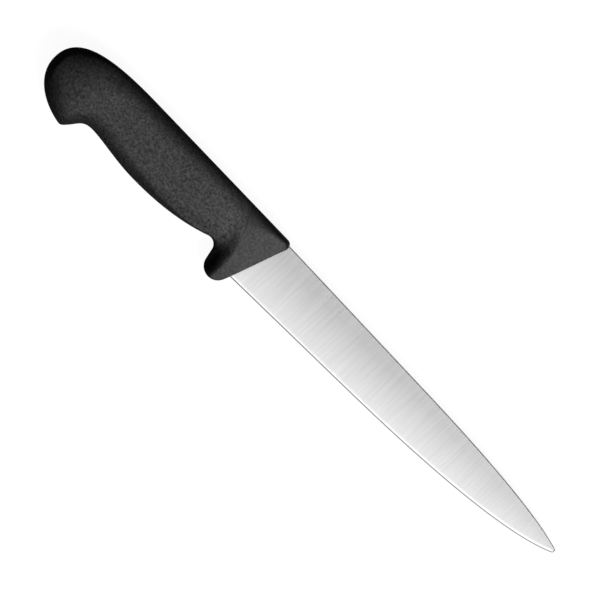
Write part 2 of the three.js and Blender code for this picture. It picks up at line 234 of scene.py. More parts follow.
class Line:
    """A planar line through closely spaced points, walked by its length."""

    def __init__(self, *pieces: np.ndarray) -> None:
        """Joins pieces end to end.

        Args:
            pieces: Arrays of points, one point to a row.
        """
        self.points = np.vstack(pieces)
        steps = np.hypot(*np.diff(self.points, axis=0).T)
        self.length = float(steps.sum())
        self.marks = np.concatenate([[0.0], np.cumsum(steps)]) / self.length
        self.order = np.argsort(self.points[:, 0], kind="stable")

    def at(self, share: float) -> np.ndarray:
        """The point at a share of the line's length."""
        return np.array([np.interp(share, self.marks, axis) for axis in self.points.T])

    def share_at(self, x: float) -> float:
        """The share of the length at which a line that runs one way along x has that x."""
        return float(np.interp(x, self.points[self.order, 0], self.marks[self.order]))

    def height(self, x: Measure) -> Measure:
        """The y of a line that runs one way along x."""
        return np.interp(x, *self.points[self.order].T)


# Solids


def mirrored(side: np.ndarray) -> np.ndarray:
    """A closed ring: one side's points, then their mirror images in the middle plane, back to the start.

    Args:
        side: Points from the underside to the back, the first and last in the middle plane.

    Returns:
        The ring's points.
    """
    return np.vstack([side, side[-2:0:-1] * (1, 1, -1)])


@dataclass(frozen=True)
class KnifeSeat:
    """Where the frame holds the knife: the knife's own origin, in the frame's metres."""

    corner: tuple[float, float, float]

    @classmethod
    def from_frame(cls, blade_length: float) -> KnifeSeat:
        """Reads the seat from the frame's boxes.

        Args:
            blade_length: How far the tip lies from the knife's own origin, in millimetres.

        Returns:
            The seat.
        """
        _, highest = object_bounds()
        low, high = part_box(Node.BLADE.value)
        return cls((high.x - blade_length * MM, highest.y, (low.z + high.z) / 2))

    def place(self, points: np.ndarray) -> np.ndarray:
        """Points of the knife, in millimetres, as points of the frame, in metres."""
        return points * MM + np.array(self.corner)

    def spots(self, piece: bpy.types.Object) -> np.ndarray:
        """The corners of a piece as points of the knife, in millimetres."""
        return (np.array([corner.co for corner in piece.data.vertices]) - np.array(self.corner)) / MM

    def loft(self, name: str, rings: Sequence[np.ndarray]) -> bpy.types.Object:
        """A closed solid through rings, with a cap at each end ruled across from side to side.

        Args:
            name: The new object's name.
            rings: Rings of the same number of points, in order.

        Returns:
            The solid, with its faces pointing out.
        """
        count = len(rings[0])
        corners = self.place(np.vstack(rings))
        faces = []
        for start in range(0, len(corners) - count, count):
            for i in range(count):
                j = (i + 1) % count
                faces.append((start + i, start + j, start + count + j, start + count + i))
        # A cap's two end faces have five sides, so that none is three points of one straight line
        middle = count // 2
        cap = [(i, i + 1, -i - 1, -i) for i in range(2, middle - 2)]
        for end, near, far in ((0, 1, 2), (middle, middle - 1, middle - 2)):
            cap.append((end, near, far, -far, -near))
        for start in (0, len(corners) - count):
            faces += [tuple(start + k % count for k in face) for face in cap]
        mesh = bpy.data.meshes.new(name)
        mesh.from_pydata(corners.tolist(), [], faces)
        made = bmesh.new()
        made.from_mesh(mesh)
        bmesh.ops.recalc_face_normals(made, faces=made.faces)
        made.to_mesh(mesh)
        made.free()
        solid = bpy.data.objects.new(name, mesh)
        bpy.context.scene.collection.objects.link(solid)
        return solid

    def rod(
        self, name: str, x: float, y: float, radius: float, half: float, sides: int
    ) -> bpy.types.Object:
        """A round rod across the knife's middle plane.

        Args:
            name: The new object's name.
            x: The place of its axis.
            y: The height of its axis.
            radius: Its radius.
            half: Half its length.
            sides: The number of its sides, which is even.

        Returns:
            The rod.
        """
        angles = np.linspace(-QUARTER_TURN, DOWN, sides, endpoint=False)
        rim = np.column_stack([x + radius * np.cos(angles), y + radius * np.sin(angles)])
        ring = np.column_stack([rim, np.full(sides, half)])
        return self.loft(name, [ring, ring * (1, 1, -1)])


def combine(solid: bpy.types.Object, tool: bpy.types.Object, cut: Cut) -> None:
    """Joins a second solid to a first or carves it out, and removes the second.

    Args:
        solid: The solid that changes.
        tool: The solid that is used up.
        cut: What is done.
    """
    change = solid.modifiers.new(cut.name.lower(), "BOOLEAN")
    change.operation = cut.value
    change.solver = "MANIFOLD"
    change.object = tool
    depsgraph = bpy.context.evaluated_depsgraph_get()
    result = bpy.data.meshes.new_from_object(solid.evaluated_get(depsgraph))
    result.materials.clear()
    solid.modifiers.clear()
    worn = solid.data
    solid.data = result
    bpy.data.meshes.remove(worn)
    bpy.data.objects.remove(tool)


def shade(solid: bpy.types.Object, sharp_angle: float) -> None:
    """Shades a solid smoothly, with edges sharper than an angle kept crisp.

    Args:
        solid: The solid.
        sharp_angle: The angle between two faces from which their edge is crisp, in radians.
    """
    solid.data.shade_smooth()
    solid.data.set_sharp_from_angle(angle=sharp_angle)


# Finishes


class Octaves(NamedTuple):
    """The finer layers of a noise: how many there are, and how strong each is beside the one before."""

    count: float
    strength: float


class NodeBoard:
    """Adds the nodes of one node tree and wires them."""

    def __init__(self, tree: bpy.types.NodeTree) -> None:
        """Starts with an empty tree.

        Args:
            tree: The tree to fill.
        """
        tree.nodes.clear()
        self.tree = tree

    @classmethod
    def of_material(cls, name: str) -> tuple[NodeBoard, bpy.types.Material]:
        """A new material.

        Args:
            name: The material's name.

        Returns:
            Its board, and the material.
        """
        material = bpy.data.materials.new(name)
        material.use_nodes = True
        return cls(material.node_tree), material

    def add(
        self, kind: str, feeds: dict[Union[str, int], Feed] | None = None, **settings: object
    ) -> bpy.types.Node:
        """Adds a node.

        Args:
            kind: Blender's name of the node's type.
            feeds: What goes into its sockets, by name or number: another node's socket, or a value.
            settings: Its other settings.

        Returns:
            The node.
        """
        node = self.tree.nodes.new(kind)
        for name, value in settings.items():
            setattr(node, name, value)
        for name, value in (feeds or {}).items():
            if isinstance(value, Socket):
                self.tree.links.new(value, node.inputs[name])
            else:
                node.inputs[name].default_value = value
        return node

    def noise(self, pitch: Sequence[float], octaves: Octaves) -> Socket:
        """Noise from 0 to 1.

        Args:
            pitch: The size of its features along each axis, in millimetres.
            octaves: Its finer layers.

        Returns:
            The noise's socket.
        """
        feeds = {
            "Vector": self.pitched(pitch),
            "Scale": 1.0,
            "Detail": octaves.count,
            "Roughness": octaves.strength,
        }
        return self.add("ShaderNodeTexNoise", feeds).outputs["Fac"]

    def pitched(self, pitch: Sequence[float]) -> Socket:
        """The object's coordinates, counted in steps of a pitch.

        Args:
            pitch: The step along each axis, in millimetres.

        Returns:
            The coordinates' socket.
        """
        place = self.add("ShaderNodeTexCoord").outputs["Object"]
        scale = tuple(PER_METRE / p for p in pitch)
        return self.add("ShaderNodeMapping", {"Vector": place, "Scale": scale}).outputs["Vector"]

    def remap(self, value: Feed, span: Pair, to: Pair) -> Socket:
        """A value moved from one span to another, and held within it.

        Args:
            value: The value.
            span: The span that it is read from.
            to: The span that it is moved to.

        Returns:
            The new value's socket.
        """
        feeds = {"Value": value, "From Min": span[0], "From Max": span[1], "To Min": to[0], "To Max": to[1]}
        return self.add("ShaderNodeMapRange", feeds).outputs["Result"]

    def reckon(self, operation: str, *values: Feed) -> Socket:
        """One step of arithmetic, with one or two values."""
        return self.add("ShaderNodeMath", dict(enumerate(values)), operation=operation).outputs["Value"]

    def sum(self, *values: Feed) -> Socket:
        """The sum of two or more values."""
        return reduce(lambda total, value: self.reckon("ADD", total, value), values)

    def product(self, *values: Feed) -> Socket:
        """The product of two or more values."""
        return reduce(lambda total, value: self.reckon("MULTIPLY", total, value), values)

    def blend(self, share: Feed, first: Feed, second: Feed) -> Socket:
        """A number between two others, by a share from 0 to 1."""
        feeds = {"Factor": share, "A": first, "B": second}
        return self.add("ShaderNodeMix", feeds, data_type="FLOAT").outputs["Result"]

    def grey(self, value: Feed) -> Socket:
        """A grey of a linear value."""
        feeds = {"Red": value, "Green": value, "Blue": value}
        return self.add("ShaderNodeCombineColor", feeds).outputs["Color"]

    def mark(self, name: str) -> Socket:
        """A mark that the mesh carries at its corners, from 0 to 1."""
        return self.add("ShaderNodeAttribute", attribute_name=name).outputs["Fac"]

    def bump(self, height: Socket, depth: float) -> Socket:
        """The normal of a bumped surface, where heights from 0 to 1 span a depth in millimetres."""
        feeds = {"Height": height, "Strength": 1.0, "Distance": depth * MM}
        return self.add("ShaderNodeBump", feeds).outputs["Normal"]

    def seen(self) -> Socket:
        """1 for rays from the eye and for reflections, 0 for those that carry light to matt surfaces."""
        path = self.add("ShaderNodeLightPath").outputs
        return self.sum(path["Is Camera Ray"], path["Is Glossy Ray"], path["Is Transmission Ray"])

    def show(self, shader: bpy.types.Node, kind: str = "ShaderNodeOutputMaterial") -> None:
        """Wires a shader to the tree's output."""
        self.add(kind, {"Surface": shader.outputs[0]})


@dataclass(frozen=True)
class MouldedPlastic:
    """A matt black plastic with the grain of an etched mould. Pitches and depths are in millimetres."""

    name: str
    tone: float
    # Painted shade: where the surface turns from straight up, the colour darkens to this share of its tone
    painted_flank_share: float
    tone_spread: float
    grain_pitch: float
    grain_depth: float
    mottle_pitch: float
    mottle_spread: float
    roughness: float
    roughness_spread: float
    specular: float
    grain_octaves: Octaves = Octaves(3.0, 0.55)
    mottle_octaves: Octaves = Octaves(2.0, 0.5)
    flat_power: float = 5.0
    # Painted shade: where the mesh's shade mark is full, the colour falls to this share of its tone
    painted_shade_share: float = 0.1
    painted_shade_mark: str = "painted_shade"

    def material(self) -> bpy.types.Material:
        """The plastic's material: grained, with shade painted darker on its steep flanks and where the
        mesh's mark says.

        Returns:
            The material.
        """
        board, material = NodeBoard.of_material(self.name)
        # Painted shade: the colour is kept where the surface faces straight up and darkened on steep
        # flanks, as light from above would fall
        facing = board.add("ShaderNodeTexCoord").outputs["Normal"]
        upright = board.add("ShaderNodeSeparateXYZ", {"Vector": facing}).outputs["Z"]
        flatness = board.reckon("POWER", board.reckon("ABSOLUTE", upright), self.flat_power)
        painted_facing_shade = board.remap(flatness, UNIT_SPAN, (self.painted_flank_share, 1.0))
        # Painted shade from the mesh's mark: darker in the finger scoop, on the guard, under the belly and
        # towards the butt
        painted_shade_factor = board.remap(board.mark(self.painted_shade_mark), UNIT_SPAN, (1.0, self.painted_shade_share))
        grain = board.noise([self.grain_pitch] * 3, self.grain_octaves)
        mottle = board.noise([self.mottle_pitch] * 3, self.mottle_octaves)
        specks = board.remap(grain, NOISE_SPAN, around(1.0, self.tone_spread))
        clouds = board.remap(mottle, NOISE_SPAN, around(1.0, self.mottle_spread))
        surface = {
            "Base Color": board.grey(board.product(self.tone, painted_facing_shade, painted_shade_factor, specks, clouds)),
            "Roughness": board.remap(grain, NOISE_SPAN, around(self.roughness, -self.roughness_spread)),
            "Specular IOR Level": self.specular,
            "Normal": board.bump(grain, self.grain_depth),
        }
        board.show(board.add("ShaderNodeBsdfPrincipled", surface))
        return material


@dataclass(frozen=True)
class SatinSteel:
    """Steel ground across the blade and honed at its edge. Pitches and depths are in millimetres."""

    name: str = "satin steel"
    tone: float = 0.765
    streak_pitch: tuple[float, float, float] = (1.1, 20.0, 8.0)
    streak_spread: float = 0.038
    band_pitch: tuple[float, float, float] = (5.0, 70.0, 8.0)
    band_spread: float = 0.01
    scratch_pitch: tuple[float, float, float] = (0.16, 9.0, 8.0)
    scratch_depth: float = 0.0001
    streak_octaves: Octaves = Octaves(0.5, 0.4)
    band_octaves: Octaves = Octaves(1.0, 0.5)
    scratch_octaves: Octaves = Octaves(2.0, 0.6)
    roughness: float = 0.305
    roughness_spread: float = 0.015
    anisotropy: float = 0.45
    # Painted shade: the honed strip's colour is painted this dark to draw a dark line along the cutting
    # edge
    hone_painted_shade: float = 0.3
    hone_roughness: float = 0.45
    grind_map: str = "grind"
    hone_mark: str = "hone"

    def material(self) -> bpy.types.Material:
        """The steel's material: grinding lines in its tone, gloss and bump, and a duller honed strip whose
        colour is painted dark as a line of shade along the edge.

        Returns:
            The material.
        """
        board, material = NodeBoard.of_material(self.name)
        streaks = board.noise(self.streak_pitch, self.streak_octaves)
        bands = board.noise(self.band_pitch, self.band_octaves)
        scratches = board.noise(self.scratch_pitch, self.scratch_octaves)
        lines = board.remap(streaks, NOISE_SPAN, around(0.0, self.streak_spread))
        clouds = board.remap(bands, NOISE_SPAN, around(0.0, self.band_spread))
        honed = board.mark(self.hone_mark)
        # The honed strip's colour is painted dark, a painted shade line along the edge; its roughness is
        # its own
        tone = board.blend(honed, board.sum(self.tone, lines, clouds), self.hone_painted_shade)
        gloss = board.remap(streaks, NOISE_SPAN, around(self.roughness, self.roughness_spread))
        ground = board.add("ShaderNodeTangent", direction_type="UV_MAP", uv_map=self.grind_map)
        surface = {
            "Base Color": board.grey(tone),
            "Metallic": 1.0,
            "Roughness": board.blend(honed, gloss, self.hone_roughness),
            "Anisotropic": self.anisotropy,
            "Tangent": ground.outputs["Tangent"],
            "Normal": board.bump(scratches, self.scratch_depth),
        }
        board.show(board.add("ShaderNodeBsdfPrincipled", surface))
        return material


STEEL = SatinSteel()
CHEEK_PLASTIC = MouldedPlastic(
    name="fine moulded plastic",
    tone=0.082,
    painted_flank_share=0.3,
    tone_spread=0.32,
    grain_pitch=1.0,
    grain_depth=0.02,
    mottle_pitch=6.0,
    mottle_spread=0.04,
    roughness=0.62,
    roughness_spread=0.05,
    specular=0.004,
)
GRIP_PLASTIC = MouldedPlastic(
    name="grained moulded plastic",
    tone=0.087,
    painted_flank_share=0.3,
    tone_spread=0.55,
    grain_pitch=1.1,
    grain_depth=0.06,
    mottle_pitch=2.6,
    mottle_spread=0.14,
    roughness=0.66,
    roughness_spread=0.08,
    specular=0.004,
)


# The blade


@dataclass(frozen=True)
class Blade:
    """The stamped blade, with its root and its hidden tang.

    A drop is a distance below the handle's straight back. A share limits a size, where the blade is low,
    by the one that it is cut from.
    """

    length: float = 179.4
    stock: float = 2.0
    spine_drop: float = 1.2
    spine_fall: float = math.radians(0.6)
    spine_straight: float = 89.0
    spine_ease: float = 0.72
    heel_drop: float = 29.8
    edge_rise: float = math.radians(2.2)
    edge_straight: float = 60.0
    flat_band: float = 6.0
    flat_least: float = 2.0
    flat_crowding: float = 3.0
    grind_slope: float = 0.074
    tip_grind_slope: float = 0.052
    lean_from: float = 80.0
    lean_even: float = 0.02
    lean_tip: float = 0.0228
    lean_power: float = 8.0
    bevel_slope: float = 0.18
    bevel: float = 1.6
    hone: float = 0.45
    hone_slack: float = 1.01
    edge_stock: float = 0.04
    tip_drop: float = 9.4
    tip_height: float = 1.9
    tip_stock: float = 1.15
    tip_spine_angle: float = math.radians(16.7)
    tip_edge_angle: float = math.radians(26.6)
    tip_round: float = 0.6
    taper_length: float = 120.0
    front_slant: float = FRONT_SLANT
    root_depth: float = 1.6
    tang_end: float = -97.5
    tang_drop: float = 7.0
    tang_height: float = 11.0
    tang_end_radius: float = 3.0
    hole_radius: float = 3.0
    hole_count: int = 3
    first_hole: float = -30.0
    last_hole_inset: float = 12.0
    hole_sides: int = 48
    ease_share: float = 1 / 6
    bevel_share: float = 0.45
    hone_share: float = 0.5
    ease_rows: int = 6
    flat_rows: int = 4
    grind_rows: int = 22
    bevel_rows: int = 6
    stations: int = 170
    tang_stations: int = 8
    sharp_angle: float = math.radians(32)

    @cached_property
    def spine(self) -> Line:
        """The spine's line, from behind the root to the tip."""
        return self._side(
            y=-self.spine_drop,
            angle=-self.spine_fall,
            straight=self.spine_straight,
            tip_y=-self.tip_drop,
            tip_angle=-self.tip_spine_angle,
        )

    @cached_property
    def edge(self) -> Line:
        """The cutting edge's line, from behind the root to the tip."""
        return self._side(
            y=-self.heel_drop,
            angle=self.edge_rise,
            straight=self.edge_straight,
            tip_y=-self.tip_drop - self.tip_height,
            tip_angle=self.tip_edge_angle,
        )

    def _side(self, y: float, angle: float, straight: float, tip_y: float, tip_angle: float) -> Line:
        """A straight stretch and then one curve to the tip.

        Args:
            y: The line's height at x = 0.
            angle: The straight stretch's direction, in radians.
            straight: The x at which the curve starts.
            tip_y: The line's height at the tip.
            tip_angle: Its direction there, in radians.

        Returns:
            The line.
        """
        # The line starts behind the root, which the core hides
        behind = -self.heel_drop
        start = np.array([behind, y + behind * math.tan(angle)])
        bend = np.array([straight, y + straight * math.tan(angle)])
        tip = np.array([self.length, tip_y])
        return Line(start[None], bezier(bend, crossing(bend, angle, tip, tip_angle), tip))

    def half(self, x: Measure) -> Measure:
        """Half the stock's thickness at a place along the blade, which thins towards the tip."""
        taper = np.clip((self.length - x) / self.taper_length, 0.0, 1.0)
        return (self.tip_stock + (self.stock - self.tip_stock) * taper * (2 - taper)) / 2

    def slopes(self, x: float) -> Pair:
        """The slopes of the side at a place along the blade, which even out towards the tip.

        Args:
            x: The place along the blade.

        Returns:
            The slope of the band along the spine, and the slope at the foot of the grind.
        """
        share = max(0.0, (x - self.lean_from) / (self.length - self.lean_from))
        lean = self.lean_even * share + self.lean_tip * share**self.lean_power
        return lean, self.grind_slope + (self.tip_grind_slope - self.grind_slope) * share

    def tip_inset(self, x: float) -> float:
        """How far the rounded tip draws the spine and the edge together at a place along the blade."""
        short = max(0.0, self.tip_round - (self.length - x))
        return self.tip_round - math.sqrt(max(0.0, self.tip_round**2 - short**2))

    def profile(self, x: float, height: float) -> list[Pair]:
        """One side of a section: eased spine, flat band, convex grind, bevel and honed edge.

        Args:
            x: The section's place along the blade.
            height: The section's height.

        Returns:
            Pairs of the distance below the spine and the half thickness there, from the spine to the edge.
        """
        half = float(self.half(x))
        lean, foot_slope = self.slopes(x)
        ease = min(self.spine_ease, height * self.ease_share, half)
        bevel = min(self.bevel, height * self.bevel_share)
        hone = min(self.hone, bevel * self.hone_share)
        flat = max(self.flat_band * height / (self.heel_drop - self.spine_drop), self.flat_least * ease)
        ground = height - bevel - flat
        edge = self.edge_stock / 2
        rows = [(0.0, 0.0)]
        for k in range(self.ease_rows + 1):
            turn = QUARTER_TURN * k / self.ease_rows
            rows.append((ease * (1 - math.cos(turn)), half - ease + ease * math.sin(turn)))
        for k in range(1, self.flat_rows + 1):
            below = (flat - ease) * (k / self.flat_rows) ** self.flat_crowding
            rows.append((ease + below, half - lean * below))
        band_foot = rows[-1][1]
        for k in range(1, self.grind_rows + 1):
            below = ground * k / self.grind_rows
            fall = lean * below + (foot_slope - lean) * below**2 / (2 * ground)
            rows.append((flat + below, band_foot - fall))
        shoulder = rows[-1][1]
        for k in range(1, self.bevel_rows + 1):
            below = (bevel - hone) * k / self.bevel_rows
            fall = foot_slope * below + (self.bevel_slope - foot_slope) * below**2 / (bevel - hone)
            rows.append((height - bevel + below, max(edge, shoulder - fall)))
        rows += [(height, edge), (height, 0.0)]
        return rows

    def section(self, x_edge: float, x_spine: float, grow: float) -> np.ndarray:
        """A ring across the blade, between a point of the edge and a point of the spine.

        Args:
            x_edge: The edge point's x.
            x_spine: The spine point's x.
            grow: How far the ring stands off the steel, for the slot that holds it.

        Returns:
            The ring's points.
        """
        top = np.array([x_spine, self.spine.height(x_spine) - self.tip_inset(x_spine)])
        foot = np.array([x_edge, self.edge.height(x_edge) + self.tip_inset(x_edge)])
        height = top[1] - foot[1]
        side = []
        for below, half in reversed(self.profile((x_edge + x_spine) / 2, height)):
            x, y = top + (foot - top) * (below / height)
            outward = {0.0: grow, height: -grow}.get(below, 0.0)
            side.append((x, y + outward, half + grow if half else 0.0))
        return mirrored(np.array(side))

    def root_x(self, y: float, grow: float) -> float:
        """The x of the root's hidden rear face at a height."""
        return y * math.tan(self.front_slant) - (self.root_depth + grow) / math.cos(self.front_slant)

    def tang_ring(self, count: int, grow: float, x: float | None = None) -> np.ndarray:
        """A ring round the tang.

        Args:
            count: The number of points on one side, as many as a blade section has.
            grow: How far the ring stands off the steel.
            x: The ring's place along the tang, or None where the tang meets the root.

        Returns:
            The ring's points.
        """
        radius = self.tang_end_radius
        short = 0.0 if x is None else max(0.0, radius - (x - self.tang_end + grow))
        inset = radius - math.sqrt(max(0.0, radius**2 - short**2))
        top = -self.tang_drop + grow - inset
        foot = -self.tang_drop - self.tang_height - grow + inset
        heights = np.concatenate([[foot], np.linspace(foot, top, count - 2), [top]])
        places = [self.root_x(y, grow) if x is None else x for y in heights]
        halves = np.concatenate([[0.0], np.full(count - 2, self.stock / 2 + grow), [0.0]])
        return mirrored(np.column_stack([places, heights, halves]))

    def solid(self, seat: KnifeSeat, name: str, grow: float = 0.0) -> bpy.types.Object:
        """The blade with its tang as a closed solid.

        Args:
            seat: Where the frame holds the knife.
            name: The solid's name.
            grow: How far the solid stands off the steel, for the hollow that holds it.

        Returns:
            The solid.
        """
        # The edge hardly rises behind the front face, so its height halfway back serves for the heel's
        heel = self.root_x(float(self.edge.height(-self.heel_drop / 2)), grow)
        slant = self.root_x(-self.spine_drop, grow) - heel
        rings = []
        for k in range(self.stations + 1):
            share = math.sin(QUARTER_TURN * k / self.stations)
            x_edge = heel + (self.length - heel) * share
            fade = 1 - smooth((x_edge - heel) / (self.edge_straight - heel))
            rings.append(self.section(x_edge, x_edge + slant * float(fade), grow))
        count = len(rings[0]) // 2 + 1
        turns = np.linspace(0.0, QUARTER_TURN, self.tang_stations + 1)
        places = self.tang_end - grow + self.tang_end_radius * (1 - np.cos(turns))
        tang = [self.tang_ring(count, grow, x) for x in places]
        solid = seat.loft(name, [*tang, self.tang_ring(count, grow), *rings])
        self._drill(solid, seat, grow)
        return solid

    def _drill(self, solid: bpy.types.Object, seat: KnifeSeat, grow: float) -> None:
        """Carves the tang's locking holes out of the blade.

        Args:
            solid: The blade.
            seat: Where the frame holds the knife.
            grow: How far the solid stands off the steel.
        """
        last = self.tang_end + self.last_hole_inset
        y = -self.tang_drop - self.tang_height / 2
        for x in np.linspace(self.first_hole, last, self.hole_count):
            drill = seat.rod("drill", x, y, self.hole_radius - grow, self.stock, self.hole_sides)
            combine(solid, drill, Cut.CARVE)

    def build(self, seat: KnifeSeat) -> bpy.types.Object:
        """The finished blade mesh, marked where it is honed and mapped along its grinding lines.

        Args:
            seat: Where the frame holds the knife.

        Returns:
            The blade.
        """
        solid = self.solid(seat, "knife_blade")
        shade(solid, self.sharp_angle)
        mesh = solid.data
        spots = seat.spots(solid)
        inset = np.array([self.tip_inset(x) for x in spots[:, 0]])
        above_edge = spots[:, 1] - self.edge.height(spots[:, 0]) - inset
        honed = np.minimum(above_edge, self.length - spots[:, 0]) < self.hone * self.hone_slack
        mark = mesh.attributes.new(STEEL.hone_mark, "FLOAT", "POINT")
        mark.data.foreach_set("value", honed.astype(np.float32))
        corners = np.array([mesh.vertices[loop.vertex_index].co[:2] for loop in mesh.loops])
        across = mesh.uv_layers.new(name=STEEL.grind_map)
        across.data.foreach_set("uv", corners[:, ::-1].astype(np.float32).ravel())
        return solid

    def dress(self, piece: bpy.types.Object) -> None:
        """Gives the blade its steel and its place in the frame."""
        piece.data.materials.append(STEEL.material())
        settle(piece, Node.BLADE)


# The handle


class Rounding(NamedTuple):
    """How far the rounding of the back and of the underside reaches into the sides."""

    back: float
    under: float


class Station(NamedTuple):
    """One station of the handle: the two ends of its ring, how the ring bows forward, and its rounding."""

    foot: np.ndarray
    top: np.ndarray
    bow: np.ndarray
    rounding: Rounding


@dataclass(frozen=True)
class HandleForm:
    """The handle's outline, thickness, rounding and painted shade, which its two mouldings share.

    A drop is a distance below the straight back, a set is one behind its front corner, and a back is one
    ahead of the butt's end. An ease is how far a curve is pulled straight on from its ends. A span starts
    where something begins and ends where it is full.
    """

    length: float = 135.5
    front_slant: float = FRONT_SLANT
    corner_radius: float = 2.7
    guard_drop: float = 37.1
    guard_radius: float = 6.5
    guard_lean: float = 0.85
    neck_drop: float = 24.05
    neck_radius: float = 4.25
    neck_turn: float = math.radians(21)
    belly_back: float = 63.0
    belly_drop: float = 31.12
    waist_back: float = 35.8
    waist_drop: float = 28.97
    waist_ease: Pair = (11.0, 6.5)
    hook_back: float = 22.7
    hook_drop: float = 37.95
    hook_radius: float = 2.65
    hook_slope: float = math.radians(46)
    hook_ease: float = 7.0
    butt_drop: float = 18.3
    butt_rise: float = math.radians(8)
    butt_top_back: float = 46.8
    butt_upper_ease: Pair = (27.1, 15.4)
    butt_lower_ease: Pair = (9.2, 12.5)
    crease_foot_angle: float = math.radians(252)
    crease_top_set: float = 25.6
    crease_bow: Pair = (11.0, 2.5)
    neck_top_set: float = 33.0
    cheek_half: float = 8.0
    crease_half: float = 7.8
    neck_half: float = 6.9
    belly_half: float = 9.6
    waist_half: float = 9.2
    hook_half: float = 9.6
    butt_half: float = 7.8
    cheek_round: Rounding = Rounding(2.2, 0.5)
    crease_round: Rounding = Rounding(12.0, 0.5)
    neck_round: Rounding = Rounding(8.5, 0.5)
    waist_round: Rounding = Rounding(10.0, 9.0)
    hook_round: Rounding = Rounding(17.0, 10.0)
    butt_round: Rounding = Rounding(18.0, 16.0)
    guard_round: float = 9.0
    guard_lead: float = 0.6
    scoop_depth: float = 0.85
    scoop_foot: float = -31.0
    scoop_top: float = -7.0
    scoop_power: float = 1.65
    scoop_fall: float = 4.0
    scoop_guard_fall: float = 7.5
    scoop_return: float = 10.0
    ridge_x: float = -15.3
    ridge_level: float = -26.0
    ridge_bend: float = 0.03
    rim_width: float = 3.4
    rim_power: float = 0.45
    rim_span: Pair = (-120.0, -130.0)
    rim_foot: float = -27.0
    # Painted shade, darkening the colour in the finger scoop, on the guard, along the belly's underside,
    # towards the butt and in a crescent at its end; the hold darkens towards the back
    scoop_shade_span: Pair = (0.08, 0.55)
    hold_darkening: float = 0.37
    hold_span: Pair = (-6.0, -50.0)
    guard_shade: float = 0.24
    guard_span: Pair = (-20.0, -36.0)
    guard_rear: Pair = (-34.0, -26.0)
    belly_shade: float = 0.32
    belly_reach: Pair = (8.0, 3.0)
    belly_edge: Pair = (-0.8, 3.2)
    belly_front: Pair = (-26.0, -31.0)
    belly_rear: Pair = (-80.0, -66.0)
    butt_shade_depth: float = 0.64
    butt_shade_span: Pair = (-106.0, -128.0)
    end_x: float = -130.85
    end_level: float = -12.5
    end_bend: float = 0.18
    end_fade: float = 1.2
    crown: float = 0.05
    grip_wall: float = 2.6
    bar_round: float = 6.0
    bar_end_back: float = 26.0
    seam_height: float = 0.09
    seam_share: float = 7e-5
    ring_steps: int = 60
    bar_front_stations: int = 10
    bar_stations: int = 24

    @property
    def butt_end(self) -> np.ndarray:
        """The rearmost point of the butt."""
        return np.array([-self.length, -self.butt_drop])

    @property
    def grip_front(self) -> float:
        """The x at which the grip's thickness starts to change."""
        return -self.crease_top_set / 2

    def from_butt(self, distance: float) -> float:
        """The x at a distance ahead of the butt's end."""
        return distance - self.length

    def front_x(self, y: float) -> float:
        """The x of the slanted front face at a height."""
        return y * math.tan(self.front_slant)

    @cached_property
    def underside(self) -> dict[Stretch, Line]:
        """The underside's stretches, from the front face round the guard, along the belly and to the butt.

        Returns:
            Each stretch's line.
        """
        guard_y = -self.guard_drop + self.guard_radius
        guard = np.array([self.front_x(guard_y) - self.guard_radius / math.cos(self.front_slant), guard_y])
        neck_x = guard[0] - self.guard_radius - self.neck_radius - self.guard_lean
        neck = np.array([neck_x, -self.neck_drop - self.neck_radius])
        across = neck - guard
        lean = math.acos((self.guard_radius + self.neck_radius) / math.hypot(*across))
        tangent = math.atan2(across[1], across[0]) + lean
        neck_end = QUARTER_TURN + self.neck_turn
        foot = self.crease_foot_angle
        nose = arc(guard, self.guard_radius, -self.front_slant, foot - math.tau)
        guard_arc = arc(guard, self.guard_radius, foot, tangent)
        neck_arc = arc(neck, self.neck_radius, tangent - math.pi, neck_end)

        start = step(neck, neck_end, self.neck_radius)
        belly = np.array([self.from_butt(self.belly_back), -self.belly_drop])
        waist = np.array([self.from_butt(self.waist_back), -self.waist_drop])
        ahead = np.array([(start[0] - belly[0]) / CUBIC, 0.0])
        fall = bezier(start, step(start, math.pi + self.neck_turn, ahead[0]), belly + ahead, belly)
        leave, arrive = self.waist_ease
        climb = bezier(belly, belly - (leave, 0.0), waist + (arrive, 0.0), waist)

        hook = np.array([self.from_butt(self.hook_back), -self.hook_drop + self.hook_radius])
        hook_start = DOWN + self.hook_slope
        hook_end = DOWN - self.butt_rise
        heel = step(hook, hook_start, self.hook_radius)
        ease = np.array([self.hook_ease, 0.0])
        drop = bezier(waist, waist - ease, step(heel, self.hook_slope, self.hook_ease), heel)
        curl = arc(hook, self.hook_radius, hook_start, hook_end)

        first, second = self.butt_lower_ease
        rear = step(hook, hook_end, self.hook_radius)
        pull = step(rear, math.pi - self.butt_rise, first)
        butt = bezier(rear, pull, self.butt_end - (0.0, second), self.butt_end)
        return {
            Stretch.NOSE: Line(nose),
            Stretch.GUARD: Line(guard_arc, neck_arc),
            Stretch.BELLY: Line(fall, climb),
            Stretch.HOOK: Line(drop, curl),
            Stretch.BUTT: Line(butt),
        }

    @cached_property
    def back(self) -> Line:
        """The back's line, from the front face over the rounded corner to the butt.

        Returns:
            The line.
        """
        radius = self.corner_radius
        reach = radius / math.tan((QUARTER_TURN - self.front_slant) / 2)
        corner = arc(np.array([-reach, -radius]), radius, -self.front_slant, QUARTER_TURN)
        first, second = self.butt_upper_ease
        bend = np.array([self.from_butt(self.butt_top_back), 0.0])
        return Line(corner, bezier(bend, bend - (first, 0.0), self.butt_end + (0.0, second), self.butt_end))

    @cached_property
    def back_marks(self) -> list[float]:
        """The shares of the back's length at which the stretches meet.

        Returns:
            The shares, from 0 to 1.
        """
        places = [
            -self.crease_top_set,
            -self.neck_top_set,
            self.from_butt(self.waist_back),
            self.from_butt(self.hook_back),
        ]
        return [0.0, *(self.back.share_at(x) for x in places), 1.0]

